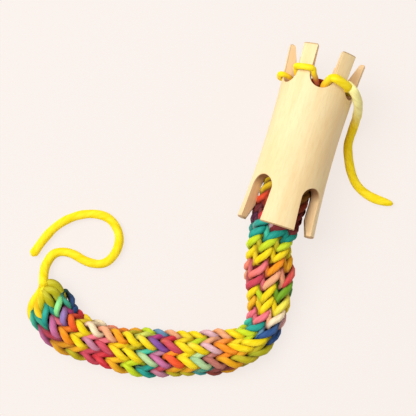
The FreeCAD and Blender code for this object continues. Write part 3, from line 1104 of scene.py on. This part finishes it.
    def inside(self, first: float, last: float, side: int) -> Strand:
        """Lay filler yarn in the tube's inside, behind the stitches, in full painted shade so that the gaps between
        stitches show dark.

        Args:
            first: Stitch at which it starts.
            last: Stitch at which it ends.
            side: -1 or 1 for the left or right of the flattened tube, 0 for its middle.

        Returns:
            The stretch of yarn.
        """
        strand = Strand()
        low, high = self.along(first), self.along(last)
        count = round(high - low)
        for step in range(count + 1):
            along = low + (high - low) * step / count
            half_width, half_height = between(self.widths, self.from_mouth(along))
            centre, heading = self.centre(along)
            right = heading.cross(Vector((0, 0, 1))).normalized()
            point = centre + right * side * (half_width - half_height) * MM
            up_bore = -self.from_mouth(along)
            fill = self.bore_fill * (ease(up_bore, *self.fill_starts) - ease(up_bore, *self.fill_ends))
            colour = self.colour(self.stitch_at(along) + side)
            radius = half_height + fill - self.inside_slack
            # The filler takes the colour of the stitch beside it, in full painted shade
            strand.add(point, radius * MM, colour, Vector((0, 0, 1)), PITCH_DARK)
        return strand

    def radius(self, stitch: float) -> float:
        """Radius of the yarn at a place counted in stitches, in metres: fuller on the legs than on the heads."""
        leg = 0.5 - 0.5 * math.cos(2 * TAU * stitch)
        full = self.head_share + (1 - self.head_share) * leg
        full *= 1 + (self.long_leg_share - 1) * math.sin(TAU * stitch)
        full *= 1 + self.thick_uneven * self.unevenness * self.thick_wobble.at(stitch / 2)
        return self.yarn_radius * full * MM

    def colour(self, stitch: float) -> tuple[float, ...]:
        """Colour of the yarn at a place counted in stitches."""
        here = self.first_stitch - 0.5
        for index, (dye, count) in enumerate(STRIPES):
            if stitch < here + count or index == len(STRIPES) - 1:
                break
            here += count
        middle = here + count / 2
        side = -1 if stitch < middle else 1
        edge = here if side < 0 else here + count
        other = STRIPES[min(max(index + side, 0), len(STRIPES) - 1)]
        reach = min(self.blur, count / 2, other[1] / 2)
        share = 0.5 - 0.5 * ease(abs(stitch - edge), 0.0, reach)
        return tuple(low + (high - low) * share for low, high in zip(dye.value, other[0].value))

    def stretch(self, name: str, first: float, last: float, sweep: YarnSweep) -> bpy.types.Object:
        """Sweep the yarn between two places counted in stitches, with filler yarn in painted shade inside the tube.

        Args:
            name: The piece's name.
            first: Where it starts.
            last: Where it ends.
            sweep: How yarn is swept.

        Returns:
            The mesh object.
        """
        count = round((last - first) * self.points_a_stitch)
        strand = Strand(start_mm=first * self.fibre_mm_a_stitch)
        for step in range(count + 1):
            place = first + (last - first) * step / count
            point, way_out, out = self.spot(place)
            strand.add(point, self.radius(place), self.colour(place), way_out, out)
        return sweep.make(name, strand, *(self.inside(first, last, side) for side in (-1, 0, 1)))


@dataclass
class KnittedCord:
    """The knitting: the cord's free stretch, the part inside the bore, and the gathered end."""

    wool: bpy.types.Material
    sweep: YarnSweep
    diameter: float = 21.0
    # Painted shade on the folds: the middle height and lift in millimetres, and how much it changes for each millimetre
    # of height
    fold_middle: float = 9.0
    fold_rise: float = 1.0
    fold_shade: float = 0.2
    fold_end_share: float = 0.8
    fold_swell: float = 0.8

    def build(self) -> dict[str, bpy.types.Object]:
        """Make the pieces, dress them and hang them on the frame.

        Returns:
            The pieces by name.
        """
        free = YarnPath.from_routes(CORD_ROUTE)
        bore = YarnPath.from_routes(BORE_ROUTE)
        knitting = Knitting(free, bore)
        mouth = knitting.stitch_at(free.length / MM)
        top = knitting.stitch_at((free.length + bore.length) / MM)
        LOG.info("knitting: %.1f rows free, %.1f rows in the bore", mouth / 6, (top - mouth) / 6)
        cord = knitting.stretch("knitted_cord", knitting.first_stitch, mouth, self.sweep)
        inner = knitting.stretch("knitting_in_bore", mouth, top, self.sweep)
        gather = self.gathered_end()
        for piece in (cord, inner, gather):
            piece.data.materials.append(self.wool)
            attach(piece, "maker")
        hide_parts("i_cord")
        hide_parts("bore_knit")
        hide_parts("cast_on_end")
        return {"knitted_cord": cord, "knitting_in_bore": inner, "gathered_end": gather}

    def gathered_end(self) -> bpy.types.Object:
        """Lay the cast-on yarn in folds over the cord's end, from the tail to the first stitches, with painted shade
        darker lower down.

        Returns:
            The piece.
        """
        strands = []
        for radius, first, last, route in CAST_ON_FOLDS:
            path = YarnPath.from_routes(route)
            strand = Strand()
            for point, metres in zip(path.points, path.lengths):
                share = metres / path.length
                colour = tuple(low + (high - low) * share for low, high in zip(first.value, last.value))
                # Painted shade: the folds darker the lower they lie
                depth = self.fold_rise + (point.z / MM - self.fold_middle) * self.fold_shade
                full = self.fold_end_share + self.fold_swell * share * (1 - share)
                strand.add(point, radius * full * MM, colour, Vector((0, 0, 1)), depth)
            strands.append(strand)
        return self.sweep.make("gathered_end", *strands)


@dataclass
class YarnTail:
    """A loose tail of plain yarn lying on the table, with a bare end."""

    name: str
    node: str
    route: tuple[tuple[float, float, float], ...]
    tint: tuple[tuple[float, Dye], ...]
    radius: float = 2.25
    taper: float = 6.0
    tip_share: float = 0.4
    lump: float = 0.05
    lump_mm: float = 4.0
    seed: int = 5

    def build(self, wool: bpy.types.Material, sweep: YarnSweep) -> bpy.types.Object:
        """Make the tail, dress it and hang it on the frame.

        Args:
            wool: The yarn's material.
            sweep: How yarn is swept.

        Returns:
            The piece.
        """
        path = YarnPath.from_routes(self.route, samples=16)
        length = path.length / MM
        wobble = Wobble(self.seed)
        strand = Strand()
        for point, metres in zip(path.points, path.lengths):
            along = metres / MM
            to_end = max(length - along, 0.0) / self.taper
            tip = 1.0 if to_end >= 1 else self.tip_share + (1 - self.tip_share) * math.sqrt(1 - (1 - to_end) ** 2)
            radius = self.radius * tip * (1 + self.lump * wobble.at(along / self.lump_mm)) * MM
            strand.add(point, radius, self.colour(along / length))
        piece = sweep.make(self.name, strand)
        piece.data.materials.append(wool)
        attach(piece, "maker")
        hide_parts(self.node)
        LOG.info("%s: %.1f mm long", self.name, length)
        return piece

    def colour(self, share: float) -> tuple[float, ...]:
        """Colour of the tail at a share of its length."""
        for (start, low), (end, high) in zip(self.tint, self.tint[1:]):
            if share <= end:
                step = ease(share, start, end)
                return tuple(a + (b - a) * step for a, b in zip(low.value, high.value))
        return self.tint[-1][1].value


# A live loop's leg from the knitting up to its prong: across the prong, out from the axis, and along the maker
PLAIN_LEG = ((1.4, 8.8, -8.4), (3.4, 10.8, -6.4), (4.6, 13.4, -4.2), (4.7, 15.8, -1.9))
STRAIGHT_LEG = ((1.2, 8.6, -6.6), (2.4, 9.6, -4.2), (2.9, 11.6, -1.6), (3.3, 14.4, -0.3))
ACROSS_SLOT = ((0.6, 9.0, -8.0), (3.6, 11.6, -6.2), (6.2, 14.6, -4.4), (6.0, 17.0, -1.6))
DOWN_SLOT = ((3.0, 8.8, -9.4), (5.2, 10.4, -7.6), (6.2, 12.8, -5.6), (5.8, 15.2, -3.6), (4.9, 16.6, -1.8))


@dataclass
class LiveLoop:
    """One live stitch: yarn from the knitting, out round a prong and back."""

    joint_body: str
    node: str
    angle: float
    y: float
    radius: float
    slant: float = 0.0
    low_leg: tuple[tuple[float, float, float], ...] = PLAIN_LEG
    high_leg: tuple[tuple[float, float, float], ...] = PLAIN_LEG
    tints: tuple[Dye, Dye, Dye] = (Dye.GOLD, Dye.YELLOW, Dye.GOLD)
    prong_half: float = 3.75
    corner_share: float = 0.85
    sinks_in: float = 0.1
    side_share: float = 0.62
    side_drop: float = 0.4
    corner_inset: float = 0.9
    corner_drop: float = 0.15
    crown_half: float = 1.6
    crown_rise: float = 0.2
    # Reach from the axis, in millimetres, from which the loop's painted shade is measured: nearer the axis the loop is
    # darker
    lit_from: float = 13.2
    tint_from: tuple[float, float] = (0.12, 0.3)
    band_starts: tuple[float, float] = (0.3, 0.42)
    band_ends: tuple[float, float] = (0.58, 0.7)
    stretch_below: float = 7.0
    stretch_above: float = 2.2

    def build(self, wool: bpy.types.Material, sweep: YarnSweep) -> bpy.types.Object:
        """Make the loop and dress it.

        Args:
            wool: The yarn's material.
            sweep: How yarn is swept.

        Returns:
            The piece.
        """
        path = YarnPath.from_routes([self.place(*spot) for spot in self.profile()], samples=12)
        strand = Strand()
        for point, metres in zip(path.points, path.lengths):
            share = metres / path.length
            band = ease(share, *self.band_starts) - ease(share, *self.band_ends)
            end = self.tints[0] if share < 0.5 else self.tints[2]
            edge = ease(abs(share - 0.5), *self.tint_from)
            colour = tuple(low + (high - low) * edge for low, high in zip(self.tints[1].value, end.value))
            radius = self.radius * (self.corner_share + (1 - self.corner_share) * band) * MM
            # Painted shade: the loop darker the nearer it lies to the maker's axis
            middle = Vector((0, point.y, AXIS_Z * MM))
            way_out = (point - middle).normalized()
            depth = (point - middle).length / MM - self.lit_from
            strand.add(point, radius, colour, way_out, depth)
        name = self.node.replace("loop", "live_stitch")
        piece = sweep.make(name, strand)
        for vertex in piece.data.vertices:
            vertex.co.z = max(vertex.co.z, 0.0)
        piece.data.materials.append(wool)
        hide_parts(self.node)
        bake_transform(piece)
        return piece

    def profile(self) -> list[tuple[float, float, float]]:
        """Spots of the loop as across, reach from the axis, and place along the maker, in millimetres."""
        y, s = self.y, self.slant
        outside = WAIST_RADIUS + (END_RADIUS - WAIST_RADIUS) * (y / HALF_LENGTH) ** 2
        face = outside + self.radius - self.sinks_in
        half = self.prong_half + self.side_share * self.radius
        low = [(-across, reach, y - s + step) for across, reach, step in self.low_leg]
        high = [(across, reach, y + s + step) for across, reach, step in reversed(self.high_leg)]
        # One half of the bridge over the prong, from its side to its crown, with the share of the slant at each spot
        bridge = (
            (half, outside - self.side_drop, 1.0),
            (half - self.corner_inset, face - self.corner_drop, 0.8),
            (self.crown_half, face + self.crown_rise, 0.3),
        )
        up = [(-across, reach, y - s * share) for across, reach, share in bridge]
        down = [(across, reach, y + s * share) for across, reach, share in reversed(bridge)]
        return [*low, *up, *down, *high]

    def place(self, across: float, reach: float, y: float) -> tuple[float, float, float]:
        """Point in millimetres from a spot across the prong, out from the axis and along the maker."""
        turn = math.radians(self.angle)
        return (
            math.sin(turn) * reach + math.cos(turn) * across,
            y,
            AXIS_Z + math.cos(turn) * reach - math.sin(turn) * across,
        )


@dataclass
class Studio:
    """Pale table, soft light from the left, and the camera over the table."""

    backdrop: tuple[float, float, float, float] = paint(252, 243, 238)
    camera_place: tuple[float, float, float] = (-9.505, -71.61, 448.485)
    camera_turn: tuple[float, float, float] = (4.4708, 1.9461, 17.2074)
    lens: float = 77.97
    table_size: float = 4.0
    table_z: float = -0.2
    lamp_place: tuple[float, float, float] = (-560, 40, 960)
    lamp_size: float = 800
    lamp_power: float = 13.4
    lamp_aim: tuple[float, float, float] = (-20, -50, 10)
    room_strength: float = 0.46
    shadow_share: float = 0.11
    glow: float = 0.95
    daylight: tuple[float, float, float] = (0.95, 1.0, 0.99)
    room_light: tuple[float, float, float, float] = (1.0, 0.955, 0.9, 1.0)

    def build(self) -> None:
        """Make the table, the lamps, the world and the camera."""
        self.table()
        self.lamp("window", self.lamp_place, self.lamp_size, self.lamp_power)
        self.world()
        self.camera()
        scene = bpy.context.scene
        scene.view_settings.view_transform = "Standard"

    def table(self) -> None:
        """Make the table top, pale to the camera and still taking the object's shadow."""
        mesh = bpy.data.meshes.new("table_top")
        sheet = bmesh.new()
        bmesh.ops.create_grid(sheet, x_segments=1, y_segments=1, size=self.table_size / 2)
        sheet.to_mesh(mesh)
        sheet.free()
        top = placed("table_top", mesh)
        top.location.z = self.table_z * MM
        material, shade, shader = new_material("table_paper")
        shade.feed(shader, {"Base Color": self.backdrop, "Roughness": 0.9, "Specular IOR Level": 0.1})
        glow = shade.add("ShaderNodeEmission", {"Color": self.backdrop, "Strength": self.glow})
        share = shade.math("MULTIPLY", shade.seen_straight(), 1 - self.shadow_share)
        mix = shade.add("ShaderNodeMixShader", {0: share, 1: shader.outputs[0], 2: glow.outputs[0]})
        shade.feed(shade.end("OUTPUT_MATERIAL"), {"Surface": mix.outputs[0]})
        top.data.materials.append(material)

    def lamp(self, name: str, place: tuple[float, float, float], size: float, power: float) -> None:
        """Add a soft square lamp that faces the middle of the object.

        Args:
            name: The lamp's name.
            place: Where it hangs, in millimetres.
            size: Its side, in millimetres.
            power: Its power, in watts.
        """
        light = bpy.data.lights.new(name, "AREA")
        light.shape = "SQUARE"
        light.size = size * MM
        light.energy = power
        light.color = self.daylight
        lamp = placed(name, light)
        spot = Vector(place) * MM
        aim = Vector(self.lamp_aim) * MM
        lamp.location = spot
        lamp.rotation_euler = (aim - spot).to_track_quat("-Z", "Y").to_euler()

    def world(self) -> None:
        """Light the room evenly, and show the backdrop's colour to the camera."""
        world = bpy.data.worlds.new("room")
        bpy.context.scene.world = world
        world.use_nodes = True
        shade = Shade(world.node_tree)
        background = shade.end("BACKGROUND")
        shade.feed(background, {"Color": self.room_light, "Strength": self.room_strength})
        seen = shade.add("ShaderNodeBackground", {"Color": self.backdrop, "Strength": 1.0})
        mix = shade.add(
            "ShaderNodeMixShader", {0: shade.seen_straight(), 1: background.outputs[0], 2: seen.outputs[0]}
        )
        shade.feed(shade.end("OUTPUT_WORLD"), {"Surface": mix.outputs[0]})

    def camera(self) -> None:
        """Add the camera, almost straight above the table and turned a little."""
        lens = bpy.data.cameras.new("camera")
        lens.lens = self.lens
        lens.sensor_width = 36.0
        lens.clip_start, lens.clip_end = 0.01, 10.0
        camera = placed("camera", lens)
        camera.location = Vector(self.camera_place) * MM
        camera.rotation_euler = Euler([math.radians(angle) for angle in self.camera_turn], "XYZ")
        bpy.context.scene.camera = camera


def main() -> None:
    """Load the frame, build each piece in order and report it."""
    logging.basicConfig(level=logging.INFO, format="%(name)s: %(message)s")
    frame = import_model()
    sweep = YarnSweep()
    fibres = fibre_group()
    knit_wool = WoolFinish().make(fibres)
    tail_wool = WoolFinish(name="plain_wool", streak_scale=2.4, streak_strength=0.12, bump=0.1).make(fibres)
    maple = MapleFinish().make(grain_group(), zone_group())
    Studio().build()

    maker = frame["nodes"]["maker_body"]
    for slot in maker.material_slots:
        slot.material = maple
    LOG.info("maker_body: %d faces dressed in %s", len(maker.data.polygons), maple.name)

    for name, piece in KnittedCord(knit_wool, sweep).build().items():
        LOG.info("%s: %d faces", name, len(piece.data.polygons))

    tails = (
        YarnTail(
            "cast_on_yarn_tail", "cast_on_tail", CAST_ON_ROUTE, ((0.0, Dye.YELLOW), (1.0, Dye.YELLOW)), taper=2.4,
            tip_share=0.3,
        ),
        YarnTail(
            "working_yarn_tail", "working_tail", WORKING_ROUTE,
            ((0.0, Dye.STRAW), (0.18, Dye.STRAW), (0.4, Dye.YELLOW), (1.0, Dye.YELLOW)),
            taper=9.0, tip_share=0.12, seed=9,
        ),
    )
    for tail in tails:
        piece = tail.build(tail_wool, sweep)
        LOG.info("%s: %d faces", piece.name, len(piece.data.polygons))

    loops = (
        LiveLoop(
            "stitch_top_left", "loop_top_left", -30.0, 30.9, 1.5, 0.1, high_leg=DOWN_SLOT,
            tints=(Dye.GOLD, Dye.YELLOW, Dye.RUST),
        ),
        LiveLoop(
            "stitch_top_right", "loop_top_right", 30.0, 28.6, 2.1, -0.9, ACROSS_SLOT, STRAIGHT_LEG,
            tints=(Dye.GOLD, Dye.YELLOW, Dye.GOLD),
        ),
        LiveLoop(
            "stitch_right", "loop_right", 90.0, 28.4, 1.4, 0.1, STRAIGHT_LEG, STRAIGHT_LEG,
            (Dye.OLIVE, Dye.PALE_YELLOW, Dye.GOLD),
        ),
        LiveLoop("stitch_low_right", "loop_low_right", 150.0, 30.2, 1.5),
        LiveLoop("stitch_low_left", "loop_low_left", 210.0, 29.8, 1.5),
        LiveLoop("stitch_left", "loop_left", 270.0, 27.6, 1.4, 0.1, STRAIGHT_LEG, STRAIGHT_LEG),
    )
    for loop in loops:
        piece = loop.build(tail_wool, sweep)
        LOG.info("%s: %d faces", piece.name, len(piece.data.polygons))


if __name__ == "__main__":
    main()
